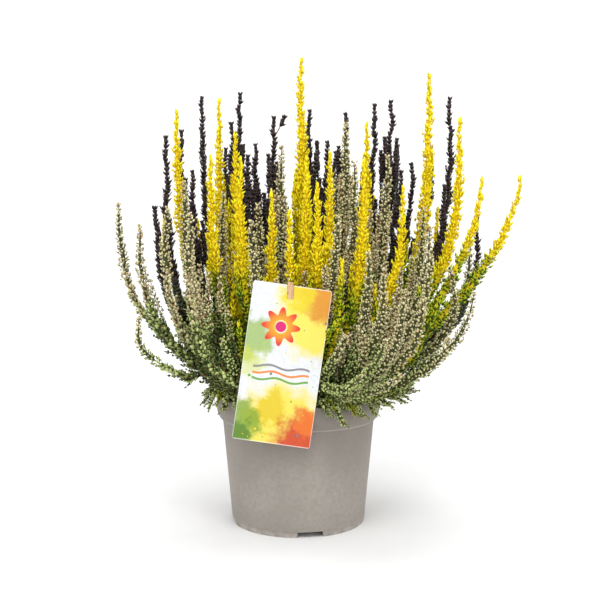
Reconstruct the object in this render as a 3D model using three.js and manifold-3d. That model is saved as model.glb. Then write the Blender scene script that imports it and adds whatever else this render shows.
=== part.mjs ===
// A potted heather. Yellow, dark and silver-green heather grow together in a round plastic pot, and a flat
// wooden stake in the soil carries a card. Millimetres, +Z up, with the origin in the middle of the base.
import * as THREE from "three";
import { mergeVertices } from "three/addons/utils/BufferGeometryUtils.js";
import Module from "manifold-3d";

// The pot
const rimRadius = 60;
const potHeight = 93;
const wall = 1.4;
const footRadius = 48.5;
const wallTaper = 0.0925;
const wallStep = 0.2;
const collarFoot = 75.6;
const collarStraight = 83;
const collarSteps = [[1.8, 1.2], [3.2, 3.6]];
const collarInside = [2.2, 2.6];
const footBand = 3.6;
const footRing = 2;
const draft = 0.7;
const edge = 0.4;
const channelHeight = 3;
const channelInner = 28;
const padRadius = 26;
const roundSides = 28;
const notchCount = 4;
const notchWidth = 19;
const notchHeight = 4;
const notchDepth = 12;
const notchTurn = 10;
const drainCount = 6;
const drainRadius = 3.2;
const drainCircle = 37;
const drainSides = 6;

// The soil
const soilTop = 86;
const soilRound = 2;
const rootDepth = 11;
const holeWidth = 3.8;
const gap = 0.3;

// The card and its stake
const cardWidth = 52.5;
const cardHeight = 107;
const cardThickness = 0.6;
const cardCorner = 1.5;
const cardRoll = 7;
const cardPlace = new THREE.Vector3(-12.4, -66, 124);
const stakeWidth = 4;
const stakeThickness = 1;
const stakeTop = new THREE.Vector3(-5, -67.8, 178.7);
const stakeFoot = new THREE.Vector3(-5, -46.5, 72);
const slotClearance = 0.25;

// The heather. Girth is how thick a spike grows, and fill how far below its tip it reaches that.
const growth = {
  yellow: { tipRadius: 0.9, girth: 4.1, fill: 42, core: 0.55 },
  dark: { tipRadius: 2.0, girth: 2.4, fill: 60, core: 0.42 },
  silver: { tipRadius: 1.7, girth: 4.0, fill: 48, core: 0.52 },
};
const leafyExtra = 2.2;
const leafyFrom = 180;
const leafyTo = 120;
const leafyInside = 75;
const leafyOutside = 110;
const footGirth = 2.4;
const footFlare = 0.17;
const stemRadius = 1.3;
const twigRadius = 1.1;
const bareStem = 2;
const tipPoint = 2.2;
const tipWhorl = 8.5;
const whorlGrowth = 0.07;
const lowWhorl = 15.5;
const whorlRise = 0.8;
const ragged = 0.2;
const sides = 3;

// How the sprays stand: levels at which they are kept apart, and the room between them
const levelStep = 6;
const bendStart = 92;
const baseRadius = 45.5;
const baseSpread = 150;
const baseCrowding = 0.75;
const steepest = 1.7;
const twigRoom = 0.4;
const room = 1.4;
const rimRoom = 6;
const bow = 3;
const forkShare = 0.22;
const tipShare = 0.4;
const forkClear = 20;
const twigLength = 14;
const shortestTwig = 4;
const leafOverlap = 0.75;
const relaxRounds = 300;
const pushShare = 0.45;
const smoothShare = 0.3;

// The planting list. Each spray is one rooted stem. The first place in its list is the tip of the stem
// itself, and the others are the tips of the spikes that branch from it: x to the right, y to the back, z up,
// then how strongly it bows outwards where that isn't the usual, and its fork's height where that matters.
const planting = {
  yellow: [
    [[-87, -8, 299, 3.4]],
    [[-59, 22, 310], [-105, 50, 225]],
    [[-60, -38, 264], [-45, -12, 282]],
    [[-39, -48, 262], [-40, -60, 152]],
    [[-18, -44, 238], [-6, -54, 227]],
    [[2, 5, 338]],
    [[6, -22, 265], [6, -42, 250]],
    [[22, -34, 266], [13, -57, 245]],
    [[29, -64, 194], [25, -74, 153]],
    [[50, 8, 292, 4.5]],
    [[44, -48, 260], [72, -38, 242]],
    [[96, 12, 328, 4], [115, -12, 291, 3.8]],
    [[127, -34, 250, 1.8], [81, -57, 175]],
    [[160, -5, 252, 1.75]],
    [[-60, 78, 255]],
    [[5, 92, 268]],
    [[62, 84, 240]],
    [[110, 58, 232]],
  ],
  dark: [
    [[-92, -28, 278, 3.6], [-98, -44, 229], [-75, -18, 255]],
    [[-88, 26, 288]],
    [[-76, 60, 318], [-45, 48, 319]],
    [[-60, 92, 281], [-36, 99, 285]],
    [[-50, 20, 293], [-37, 6, 268]],
    [[-18, 18, 297], [-32, 38, 271], [-10, 19, 298, 1.4, 284]],
    [[9, 62, 308], [-24, 72, 274]],
    [[13, 26, 271], [21, -5, 277]],
    [[31, 100, 279]],
    [[36, 36, 302], [48, 28, 257]],
    [[60, 64, 313], [89, 58, 266]],
    [[70, 34, 311], [76, 12, 257]],
    [[81, 90, 283], [107, 76, 281]],
    [[114, 30, 313, 3.7], [108, 12, 247]],
    [[135, 24, 223]],
  ],
  silver: [
    [[-131, 0, 233]],
    [[-109, -38, 217, 2.2], [-108, -52, 155]],
    [[-77, -50, 245], [-86, -64, 228]],
    [[-70, -74, 224], [-50, -72, 142]],
    [[-52, -28, 239], [-28, -32, 232]],
    [[-31, -60, 218]],
    [[-12, -14, 273]],
    [[27, -58, 223]],
    [[31, -86, 146], [42, -90, 121]],
    [[34, -15, 289], [39, -31, 260]],
    [[63, -18, 266]],
    [[89, -22, 229], [105, -33, 186]],
    [[90, -47, 215], [88, -67, 197]],
    [[46, -68, 199], [55, -84, 189]],
    [[80, -86, 170], [68, -94, 175]],
    [[56, -98, 145], [66, -92, 121]],
    [[120, -48, 171], [100, -66, 142], [78, -54, 107, 1.6, 93]],
    [[-85, 74, 215]],
    [[-118, 25, 180]],
    [[-20, 106, 225], [-55, 100, 165]],
    [[40, 110, 205], [10, 112, 150]],
    [[95, 92, 200], [75, 104, 150]],
    [[133, 40, 205]],
  ],
};

const finishes = {
  pot: { color: 0x8f8780, roughness: 0.6, metalness: 0 },
  soil: { color: 0x2b211a, roughness: 0.95, metalness: 0 },
  card: { color: 0xf2efe2, roughness: 0.4, metalness: 0 },
  wood: { color: 0xc9a075, roughness: 0.7, metalness: 0 },
  yellow: { color: 0xe3b90c, roughness: 0.75, metalness: 0 },
  dark: { color: 0x332a2c, roughness: 0.75, metalness: 0 },
  silver: { color: 0xa3a184, roughness: 0.75, metalness: 0 },
};

const wasm = await Module();
wasm.setup();

const group = new THREE.Group();

function addPiece(name, geometry, finish) {
  const mesh = new THREE.Mesh(geometry, new THREE.MeshStandardMaterial(finishes[finish]));
  mesh.name = name;
  group.add(mesh);
}

function toSolid(geometry) {
  const bare = geometry.clone();
  bare.deleteAttribute("normal");
  bare.deleteAttribute("uv");
  const merged = mergeVertices(bare, 1e-4);
  return new wasm.Manifold(new wasm.Mesh({
    numProp: 3,
    vertProperties: new Float32Array(merged.getAttribute("position").array),
    triVerts: new Uint32Array(merged.index.array),
  }));
}

function toGeometry(solid) {
  const mesh = solid.getMesh();
  const geometry = new THREE.BufferGeometry();
  geometry.setAttribute("position", new THREE.BufferAttribute(new Float32Array(mesh.vertProperties), 3));
  geometry.setIndex(new THREE.BufferAttribute(new Uint32Array(mesh.triVerts), 1));
  geometry.computeVertexNormals();
  return geometry;
}

// Spreads a profile of (radius, height) points round the Z axis.
function turn(profile) {
  const points = profile.map(([r, z]) => new THREE.Vector2(r, z));
  return new THREE.LatheGeometry(points, roundSides).rotateX(Math.PI / 2);
}

function wallRadius(z) {
  return footRadius + wallStep + wallTaper * z;
}

function innerRadius(z) {
  return z > collarStraight ? rimRadius - wall : wallRadius(Math.min(z, collarFoot)) - wall;
}

function makePot() {
  const floorTop = channelHeight + wall;
  const topWall = wallRadius(collarFoot);
  let pot = toSolid(turn([
    [0, 0],
    [padRadius, 0],
    [channelInner, channelHeight],
    [footRadius - footRing - draft, channelHeight],
    [footRadius - footRing, 0],
    [footRadius, 0],
    [footRadius + edge, footBand],
    [wallRadius(footBand) + wallStep, footBand + edge],
    [topWall, collarFoot],
    ...collarSteps.map(([out, up]) => [topWall + out, collarFoot + up]),
    [rimRadius, collarStraight],
    [rimRadius, potHeight - edge],
    [rimRadius - edge, potHeight],
    [rimRadius - wall, potHeight],
    [rimRadius - wall, collarStraight],
    [topWall - wall + collarInside[0], collarFoot + collarInside[1]],
    [topWall - wall, collarFoot],
    [wallRadius(floorTop) - wall, floorTop],
    [channelInner + draft, floorTop],
    [padRadius + draft, wall],
    [0, wall],
  ]));
  const trapezoid = new THREE.Shape([
    new THREE.Vector2(-notchWidth / 2, -1),
    new THREE.Vector2(notchWidth / 2, -1),
    new THREE.Vector2(notchWidth / 2 - draft, notchHeight),
    new THREE.Vector2(-notchWidth / 2 + draft, notchHeight),
  ]);
  for (let i = 0; i < notchCount; i += 1) {
    const notch = new THREE.ExtrudeGeometry(trapezoid, { depth: notchDepth, bevelEnabled: false });
    notch.rotateX(Math.PI / 2).translate(0, notchDepth / 2 - footRadius, 0);
    notch.rotateZ(THREE.MathUtils.degToRad(notchTurn + (360 * i) / notchCount));
    pot = pot.subtract(toSolid(notch));
  }
  for (let i = 0; i < drainCount; i += 1) {
    const drain = new THREE.CylinderGeometry(drainRadius, drainRadius, 2 * floorTop, drainSides);
    drain.rotateX(Math.PI / 2).translate(drainCircle, 0, channelHeight);
    drain.rotateZ(THREE.MathUtils.degToRad(notchTurn + (360 * i) / drainCount));
    pot = pot.subtract(toSolid(drain));
  }
  addPiece("pot", toGeometry(pot), "pot");
}

// A flat stick from the soil to the slit in the card, square across its width.
function stakeSolid(extra) {
  const run = stakeTop.clone().sub(stakeFoot);
  const size = [stakeWidth, stakeThickness, run.length()].map((side) => side + 2 * extra);
  const stick = new THREE.BoxGeometry(...size);
  stick.rotateX(Math.atan2(-run.y, run.z));
  const middle = stakeTop.clone().add(stakeFoot).multiplyScalar(0.5);
  return toSolid(stick.translate(middle.x, middle.y, middle.z));
}

function makeCard() {
  const x = cardWidth / 2 - cardCorner;
  const y = cardHeight / 2 - cardCorner;
  const outline = new THREE.Shape();
  outline.absarc(x, y, cardCorner, 0, Math.PI / 2);
  outline.absarc(-x, y, cardCorner, Math.PI / 2, Math.PI);
  outline.absarc(-x, -y, cardCorner, Math.PI, 1.5 * Math.PI);
  outline.absarc(x, -y, cardCorner, 1.5 * Math.PI, 2 * Math.PI);
  const sheet = { depth: cardThickness, bevelEnabled: false, curveSegments: 2 };
  const card = new THREE.ExtrudeGeometry(outline, sheet);
  card.translate(0, 0, -cardThickness / 2).rotateX(Math.PI / 2).rotateY(THREE.MathUtils.degToRad(cardRoll));
  card.translate(cardPlace.x, cardPlace.y, cardPlace.z);
  addPiece("plant_card", toGeometry(toSolid(card).subtract(stakeSolid(slotClearance))), "card");
  addPiece("card_stake", toGeometry(stakeSolid(0)), "wood");
}

function makeSoil(bases) {
  const floorTop = channelHeight + wall + gap;
  const topWall = wallRadius(collarFoot) - wall - gap;
  const brim = rimRadius - wall - gap - edge;
  let soil = toSolid(turn([
    [0, wall + gap],
    [padRadius, wall + gap],
    [channelInner, floorTop],
    [wallRadius(floorTop) - wall - gap, floorTop],
    [topWall, collarFoot],
    [topWall + collarInside[0], collarFoot + collarInside[1] + gap],
    [brim, soilTop - soilRound],
    [brim - soilRound, soilTop],
    [0, soilTop],
  ]));
  for (const base of bases) {
    const hole = new THREE.BoxGeometry(holeWidth, holeWidth, 2 * rootDepth + 1);
    soil = soil.subtract(toSolid(hole.translate(base.x, base.y, soilTop)));
  }
  addPiece("soil", toGeometry(soil.subtract(stakeSolid(gap))), "soil");
}

// How thick a spike is at a place, that far below its tip. It is leafier low down in the middle of the plant.
function spikeRadius(colour, below, { x, y, z }) {
  const { tipRadius, girth, fill } = growth[colour];
  const low = THREE.MathUtils.smoothstep(leafyFrom - z, 0, leafyFrom - leafyTo);
  const open = THREE.MathUtils.smoothstep(Math.hypot(x, y), leafyInside, leafyOutside);
  const full = tipRadius + girth * (1 - Math.exp(-below / fill)) + leafyExtra * low * (1 - open);
  return Math.min(full, footGirth + footFlare * (z - soilTop));
}

// Each spike as a list of places, one at each level that it reaches. Home is where it would stand alone.
function planSpikes() {
  const spikes = [];
  for (const [colour, sprays] of Object.entries(planting)) {
    sprays.forEach((tips, index) => {
      const host = makeSpike(colour, index, tips[0], null);
      spikes.push(host);
      tips.slice(1).forEach((tip) => spikes.push(makeSpike(colour, index, tip, host)));
    });
  }
  return spikes;
}

function makeSpike(colour, spray, [x, y, z, power = bow, forkHeight = 0], host) {
  const tip = new THREE.Vector3(x, y, z);
  const fork = host ? forkHeight || soilTop + forkShare * (z - soilTop) : bendStart;
  const first = host ? Math.floor((fork - soilTop) / levelStep) + 1 : 0;
  const last = Math.ceil((z - soilTop) / levelStep - tipShare) - 1;
  const spread = baseRadius * Math.min(1, (Math.hypot(x, y) / baseSpread) ** baseCrowding);
  const start = host ? placeAt(host, fork) : new THREE.Vector2(x, y).setLength(spread);
  const spike = { colour, spray, tip, host, fork, first, last, start, home: [], shift: [], radius: [] };
  for (let level = first; level <= last; level += 1) {
    const share = Math.max(0, (soilTop + level * levelStep - fork) / (z - fork));
    const out = 1 - (1 - share) ** power;
    spike.home.push(new THREE.Vector2(x, y).sub(start).multiplyScalar(out).add(start));
    spike.shift.push(new THREE.Vector2());
  }
  for (let level = first; level <= last; level += 1) {
    const height = soilTop + level * levelStep;
    const below = spike.home[Math.max(0, level - first - 1)];
    const above = spike.home[Math.min(last - first, level - first + 1)];
    const lean = Math.min(steepest, Math.hypot(1, above.distanceTo(below) / (2 * levelStep)));
    const bare = host && height < fork + twigLength;
    const here = { ...spike.home[level - first], z: Math.max(height, potHeight + 1) };
    const leafy = spikeRadius(colour, z - height, here) * lean;
    spike.radius.push(bare ? twigRadius + twigRoom : leafy);
  }
  return spike;
}

function placeAt(spike, z) {
  const top = spike.home.length - 1;
  const place = Math.min(Math.max((z - soilTop) / levelStep - spike.first, 0), top);
  const lower = Math.floor(place);
  const at = (i) => spike.home[i].clone().add(spike.shift[i]);
  return at(lower).lerp(at(Math.min(lower + 1, top)), place - lower);
}

// The spikes are bent clear of each other. In each level two that stand too near are pushed apart, and the
// push is spread along them, so that they keep their smooth bow. Tips stay where the list has them.
function standApart(spikes) {
  const levels = Math.max(...spikes.map((spike) => spike.last)) + 1;
  for (let round = 0; round < relaxRounds; round += 1) {
    for (let level = 0; level < levels; level += 1) {
      const here = spikes.filter((spike) => spike.first <= level && level <= spike.last);
      const places = here.map((spike) => placeAt(spike, soilTop + level * levelStep));
      const pushes = here.map((spike, i) => pushFromThings(spike, places[i], level));
      for (let i = 0; i < here.length; i += 1) {
        for (let j = i + 1; j < here.length; j += 1) {
          pushPair(here[i], here[j], places[i], places[j], pushes[i], pushes[j], level);
        }
      }
      here.forEach((spike, i) => spike.shift[level - spike.first].add(pushes[i]));
    }
    spikes.forEach(smoothShift);
  }
}

function pushPair(one, other, place, otherPlace, push, otherPush, level) {
  const height = soilTop + level * levelStep;
  const sameSpray = one.colour === other.colour && one.spray === other.spray;
  if (sameSpray && height < Math.max(one.fork, other.fork) + forkClear) {
    return;
  }
  const apart = otherPlace.clone().sub(place);
  const need = one.radius[level - one.first] + other.radius[level - other.first] + room;
  const short = need - apart.length();
  if (short > 0) {
    apart.setLength(short * pushShare);
    push.sub(apart);
    otherPush.add(apart);
  }
}

// The pot's wall, the card in front and the stake hold the spikes back.
function pushFromThings(spike, place, level) {
  const height = soilTop + level * levelStep;
  const radius = spike.radius[level - spike.first];
  const push = new THREE.Vector2();
  const reach = level === 0 ? baseRadius : innerRadius(height) - radius - room;
  if (height < potHeight + rimRoom && place.length() > reach) {
    push.sub(place.clone().setLength(place.length() - reach));
  }
  const alongCard = (height - cardPlace.z) * Math.tan(THREE.MathUtils.degToRad(cardRoll));
  const beside = Math.abs(place.x - cardPlace.x - alongCard) - cardWidth / 2 - radius;
  const behind = place.y - radius - room - cardPlace.y;
  if (beside < 0 && behind < 0 && Math.abs(height - cardPlace.z) < cardHeight / 2 + radius) {
    push.y -= behind;
  }
  const stakeShare = (height - stakeFoot.z) / (stakeTop.z - stakeFoot.z);
  if (stakeShare < 1) {
    const stake = stakeFoot.clone().lerp(stakeTop, stakeShare);
    const away = place.clone().sub(new THREE.Vector2(stake.x, stake.y));
    const short = radius + stakeWidth / 2 + room - away.length();
    if (short > 0) {
      push.add(away.setLength(short));
    }
  }
  return push;
}

function smoothShift(spike) {
  const still = new THREE.Vector2();
  const { shift, host } = spike;
  const before = host ? placeAt(host, spike.fork).sub(spike.start) : shift[0];
  const old = shift.map((value) => value.clone());
  shift.forEach((value, i) => {
    const lower = i > 0 ? old[i - 1] : before;
    const upper = i < old.length - 1 ? old[i + 1] : still;
    const middle = lower.clone().add(upper).multiplyScalar(0.5);
    value.lerp(middle, smoothShare);
  });
}

// The curve that a spike's stem follows, from its root or its fork to its tip.
function stemCurve(spike) {
  const points = [];
  if (spike.host) {
    const from = placeAt(spike.host, spike.fork);
    points.push(new THREE.Vector3(from.x, from.y, spike.fork));
  } else {
    const base = placeAt(spike, soilTop);
    points.push(new THREE.Vector3(base.x, base.y, soilTop - rootDepth));
  }
  for (let level = spike.first; level <= spike.last; level += 1) {
    const height = soilTop + level * levelStep;
    const place = placeAt(spike, height);
    points.push(new THREE.Vector3(place.x, place.y, height));
  }
  points.push(spike.tip.clone());
  return new THREE.CatmullRomCurve3(points, false, "centripetal");
}

// The length along a curve at which its leaves begin: just above the soil, or clear of the stem that it
// forks from.
function leavesFrom(spike, curve, length) {
  if (!spike.host) {
    return rootDepth + bareStem;
  }
  for (let along = shortestTwig; along < length; along += 1) {
    const point = curve.getPointAt(along / length);
    const host = placeAt(spike.host, point.z);
    const away = Math.hypot(point.x - host.x, point.y - host.y);
    const hostRadius = spikeRadius(spike.colour, Math.max(0, spike.host.tip.z - point.z), point);
    if (away > leafOverlap * (hostRadius + spikeRadius(spike.colour, length - along, point))) {
      return along;
    }
  }
  return length / 2;
}

// A spike is a slim core with whorls of leaf points raised from it. Each whorl flares up and out from the
// core to its points, and the next one is turned half a step, so that points stand over the hollows below.
function growSpike(spike, random) {
  const curve = stemCurve(spike);
  const length = curve.getLength();
  const { core } = growth[spike.colour];
  const start = leavesFrom(spike, curve, length);
  const whorls = [];
  let below = tipPoint;
  while (length - below - whorlRise * tipWhorl > start) {
    const pitch = Math.min(tipWhorl + whorlGrowth * below, lowWhorl);
    whorls.unshift({ low: Math.max(start, length - below - whorlRise * pitch), high: length - below });
    below += pitch;
  }
  const rings = [];
  let phase = random() * 2 * Math.PI;
  const ring = (along, radius, uneven) => {
    const point = curve.getPointAt(along / length);
    const up = curve.getTangentAt(along / length);
    const across = new THREE.Vector3(1, 0, 0).projectOnPlane(up).normalize();
    const round = up.clone().cross(across);
    const corners = [];
    for (let i = 0; i < sides; i += 1) {
      const angle = phase + (2 * Math.PI * i) / sides;
      const reach = radius * (1 - uneven * random());
      const corner = across.clone().multiplyScalar(Math.cos(angle) * reach);
      corners.push(corner.addScaledVector(round, Math.sin(angle) * reach).add(point));
    }
    rings.push(corners);
  };
  const foot = spike.host ? twigRadius : stemRadius;
  ring(0, foot, 0);
  ring(start, foot, 0);
  for (const { low, high } of whorls) {
    const radius = spikeRadius(spike.colour, length - high, curve.getPointAt(high / length));
    if (low > start + 1) {
      ring(low, radius * core, 0);
    }
    phase += Math.PI / sides;
    ring(high, radius, ragged);
  }
  return skin(rings, spike.tip);
}

// Closes rings of corners into one skin, from a flat foot to a point.
function skin(rings, point) {
  const corners = rings.flat();
  const faces = [];
  for (let i = 2; i < sides; i += 1) {
    faces.push(0, i, i - 1);
  }
  for (let r = 0; r < rings.length; r += 1) {
    for (let i = 0; i < sides; i += 1) {
      const here = r * sides + i;
      const next = r * sides + ((i + 1) % sides);
      if (r === rings.length - 1) {
        faces.push(here, next, corners.length);
      } else {
        faces.push(here, next, here + sides);
        faces.push(next, next + sides, here + sides);
      }
    }
  }
  const positions = [...corners, point].flatMap((corner) => corner.toArray());
  const geometry = new THREE.BufferGeometry();
  geometry.setAttribute("position", new THREE.Float32BufferAttribute(positions, 3));
  geometry.setIndex(faces);
  return geometry;
}

// A repeatable random number between 0 and 1.
function makeRandom(seed) {
  let state = seed;
  return () => {
    state = (state * 1664525 + 1013904223) % 4294967296;
    return state / 4294967296;
  };
}

function makeHeather(spikes) {
  const random = makeRandom(7);
  for (const [colour, sprays] of Object.entries(planting)) {
    sprays.forEach((tips, index) => {
      const parts = spikes.filter((spike) => spike.colour === colour && spike.spray === index);
      const solids = parts.map((spike) => toSolid(growSpike(spike, random)));
      const spray = solids.reduce((whole, solid) => whole.add(solid));
      addPiece(`${colour}_spray_${String(index + 1).padStart(2, "0")}`, toGeometry(spray), colour);
    });
  }
}

const spikes = planSpikes();
standApart(spikes);
makePot();
makeSoil(spikes.filter((spike) => !spike.host).map((spike) => placeAt(spike, soilTop)));
makeCard();
makeHeather(spikes);

export default group;
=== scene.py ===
# A potted heather: yellow, dark and silver spikes in a plastic pot, with a card on a wooden stake.
import math
import random

import bmesh
import bpy
import numpy as np
from mathutils import Matrix, Vector, noise


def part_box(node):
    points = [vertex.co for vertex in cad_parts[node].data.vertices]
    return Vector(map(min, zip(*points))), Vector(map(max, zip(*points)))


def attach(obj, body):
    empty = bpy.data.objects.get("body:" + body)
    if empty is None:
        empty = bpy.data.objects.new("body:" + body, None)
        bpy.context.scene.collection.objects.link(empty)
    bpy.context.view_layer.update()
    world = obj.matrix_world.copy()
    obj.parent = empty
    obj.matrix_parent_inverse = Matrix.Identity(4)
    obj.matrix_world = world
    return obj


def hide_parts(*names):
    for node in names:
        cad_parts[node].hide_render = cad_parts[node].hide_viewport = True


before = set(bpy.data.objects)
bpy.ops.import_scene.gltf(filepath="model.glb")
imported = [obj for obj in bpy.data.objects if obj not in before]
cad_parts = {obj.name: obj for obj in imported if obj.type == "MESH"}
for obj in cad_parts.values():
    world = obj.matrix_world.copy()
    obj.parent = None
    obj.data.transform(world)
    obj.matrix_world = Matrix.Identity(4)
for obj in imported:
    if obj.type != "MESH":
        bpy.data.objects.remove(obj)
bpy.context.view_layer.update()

mm = 0.001
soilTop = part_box("soil")[1].z / mm        # this and the next two in millimetres
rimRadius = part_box("pot")[1].x / mm
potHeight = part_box("pot")[1].z / mm


def paint(red, green, blue):
    # a colour as seen on a screen, 0 to 255, in the light values that shaders use
    light = [c / 255 / 12.92 if c < 10 else ((c / 255 + 0.055) / 1.055) ** 2.4 for c in (red, green, blue)]
    return (*light, 1)


class Wire:
    # a value that changes over a surface: arithmetic on it adds Math nodes
    def __init__(self, finish, socket):
        self.finish = finish
        self.socket = socket

    def math(self, operation, *values):
        return self.finish.node("ShaderNodeMath", {"operation": operation}, dict(enumerate(values)))

    def __add__(self, other):
        return self.math("ADD", self, other)

    def __sub__(self, other):
        return self.math("SUBTRACT", self, other)

    def __rsub__(self, other):
        return self.math("SUBTRACT", other, self)

    def __mul__(self, other):
        return self.math("MULTIPLY", self, other)

    def __pow__(self, other):
        return self.math("POWER", self, other)

    def __gt__(self, other):
        return self.math("GREATER_THAN", self, other)

    def __lt__(self, other):
        return self.math("LESS_THAN", self, other)

    __radd__ = __add__
    __rmul__ = __mul__

    def rise(self, low, high):
        # 0 under low, 1 over high, and smooth between
        settings = {"interpolation_type": "SMOOTHSTEP"}
        ends = {"Value": self, "From Min": low, "From Max": high}
        return self.finish.node("ShaderNodeMapRange", settings, ends)


class Finish:
    # one material: a Principled shader and what feeds it
    def __init__(self, name, sockets):
        self.material = bpy.data.materials.new(name)
        self.material.use_nodes = True
        self.tree = self.material.node_tree
        self.shader = self.tree.nodes["Principled BSDF"]
        self.feed(self.shader, sockets)

    def feed(self, node, sockets):
        for key, value in sockets.items():
            if isinstance(value, Wire):
                self.tree.links.new(value.socket, node.inputs[key])
            else:
                node.inputs[key].default_value = value

    def node(self, kind, settings, sockets, output=0):
        made = self.tree.nodes.new(kind)
        for key, value in settings.items():
            setattr(made, key, value)
        self.feed(made, sockets)
        return Wire(self, made.outputs[output])

    def mix(self, share, one, other):
        return self.node("ShaderNodeMix", {"data_type": "RGBA"}, {0: share, 6: one, 7: other}, 2)

    def place(self, output="Object"):
        return self.node("ShaderNodeTexCoord", {}, {}, output)

    def stretched(self, scale, output="Object"):
        return self.node("ShaderNodeMapping", {}, {"Vector": self.place(output), "Scale": scale})

    def axis(self, vector, which):
        return self.node("ShaderNodeSeparateXYZ", {}, {"Vector": vector}, which)

    def noise(self, scale, detail, where=None):
        sockets = {"Vector": where or self.place(), "Scale": scale, "Detail": detail}
        return self.node("ShaderNodeTexNoise", {}, sockets)

    def mark(self, name):
        # a value that was stored on the mesh's points
        return self.node("ShaderNodeAttribute", {"attribute_name": name}, {}, "Fac")

    def bump(self, height, distance, strength):
        return self.node("ShaderNodeBump", {}, {"Height": height, "Distance": distance, "Strength": strength})


def turned(angle, axis="Z"):
    return Matrix.Rotation(angle, 4, axis)


def meshFrom(bm, name):
    mesh = bpy.data.meshes.new(name)
    bm.to_mesh(mesh)
    bm.free()
    return mesh


def putIn(name, data):
    # a new object in the scene
    made = bpy.data.objects.new(name, data)
    bpy.context.scene.collection.objects.link(made)
    return made


def addPiece(name, bm, finishes, slot, *replaced):
    piece = putIn(name, meshFrom(bm, name))
    for finish in finishes:
        piece.data.materials.append(finish.material)
    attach(piece, "root")
    if replaced:
        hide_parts(*replaced)
    return piece


def smoothAll(bm):
    for face in bm.faces:
        face.smooth = True


def spinProfile(bm, profile, steps):
    # turns (radius, height) points, in millimetres, round the Z axis
    points = [bm.verts.new((r * mm, 0, z * mm)) for r, z in profile]
    edges = [bm.edges.new(pair) for pair in zip(points, points[1:])]
    bmesh.ops.spin(bm, geom=points + edges, cent=(0, 0, 0), axis=(0, 0, 1), angle=2 * math.pi, steps=steps,
                   use_merge=True)
    bmesh.ops.remove_doubles(bm, verts=bm.verts, dist=1e-6)
    bmesh.ops.recalc_face_normals(bm, faces=bm.faces)


# The studio: camera where the photograph was taken from, pale floor that curves up to a wall, soft light.
# Millimetres and degrees, but metres for the lamps: where each stands, its width, and its power in watts.
studio = {
    "aside": 1.2, "distance": 680, "height": 210, "pitch": 4.02, "lens": 55.74,
    "floorRadius": 1500, "sweep": 900, "wallHeight": 2600, "floorSteps": 96, "daylight": 0.41,
    "lamps": {"key_light": ((0.15, -0.9, 1.4), 0.5, 8.5), "fill_light": ((-0.5, -0.9, 1.3), 0.9, 3.5),
              "top_light": ((0.0, 0.35, 1.7), 1.0, 12)},
    "aim": (0, 0, 0.12),
}


def makeStudio():
    makeCamera()
    makeFloor()
    world = bpy.data.worlds.new("studio")
    world.use_nodes = True
    daylight = world.node_tree.nodes["Background"]
    daylight.inputs["Color"].default_value = (1, 1, 1, 1)
    daylight.inputs["Strength"].default_value = studio["daylight"]
    bpy.context.scene.world = world
    bpy.context.scene.view_settings.view_transform = "Standard"
    for name, (place, size, power) in studio["lamps"].items():
        addLight(name, place, size, power)


def makeCamera():
    eye = putIn("camera", bpy.data.cameras.new("camera"))
    eye.data.lens = studio["lens"]
    eye.data.clip_start = 0.01
    eye.location = (studio["aside"] * mm, -studio["distance"] * mm, studio["height"] * mm)
    eye.rotation_euler = (math.radians(90 - studio["pitch"]), 0, 0)
    bpy.context.scene.camera = eye


def makeFloor():
    flat, sweep = studio["floorRadius"], studio["sweep"]
    profile = [(0, 0), (flat / 2, 0)]
    for turn in range(0, 91, 6):
        angle = math.radians(turn)
        profile.append((flat + sweep * math.sin(angle), sweep * (1 - math.cos(angle))))
    profile.append((flat + sweep, studio["wallHeight"]))
    bm = bmesh.new()
    spinProfile(bm, profile, studio["floorSteps"])
    smoothAll(bm)
    bmesh.ops.reverse_faces(bm, faces=bm.faces)
    floor = putIn("studio_floor", meshFrom(bm, "studio_floor"))
    floor.data.materials.append(paperFinish().material)


def paperFinish():
    # pale paper, lit more the farther it is from the pot, as a studio wall is by its own lamps
    finish = Finish("studio paper", {"Roughness": 0.9, "Emission Strength": 1.0})
    away = finish.node("ShaderNodeVectorMath", {"operation": "LENGTH"}, {0: finish.place()}, 1)
    grain = finish.noise(40, 3)
    shade = finish.mix(grain, paint(238, 238, 238), paint(242, 242, 242))
    glow = finish.mix(away.rise(0.3, 1.2), (0, 0, 0, 1), (0.3, 0.3, 0.3, 1))
    finish.feed(finish.shader, {"Base Color": shade, "Emission Color": glow})
    return finish


def addLight(name, place, size, power):
    lamp = bpy.data.lights.new(name, "AREA")
    lamp.size = size
    lamp.energy = power
    light = putIn(name, lamp)
    light.location = place
    light.rotation_euler = (Vector(studio["aim"]) - Vector(place)).to_track_quat("-Z", "Y").to_euler()
    light.visible_camera = False


# The pot, in millimetres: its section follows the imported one, with a true round and softened edges
pot = {
    "wall": 1.4, "foot": 48.5, "taper": 0.0925, "wallStep": 0.2, "footBand": 3.6, "footRing": 2, "draft": 0.7,
    "channel": 3.0, "channelInner": 28, "pad": 26, "collarFoot": 75.6, "collarStraight": 83,
    "notches": 4, "notchWidth": 19, "notchHeight": 4, "notchDepth": 12, "notchTaper": 0.074, "notchTurn": 10,
    "drains": 6, "drainRadius": 3.2, "drainCircle": 37, "drainDepth": 8, "drainSides": 24,
    "steps": 144, "softEdge": 0.35, "softAngle": 30,
}


def wallRadius(height):
    return pot["foot"] + pot["wallStep"] + pot["taper"] * height


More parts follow.
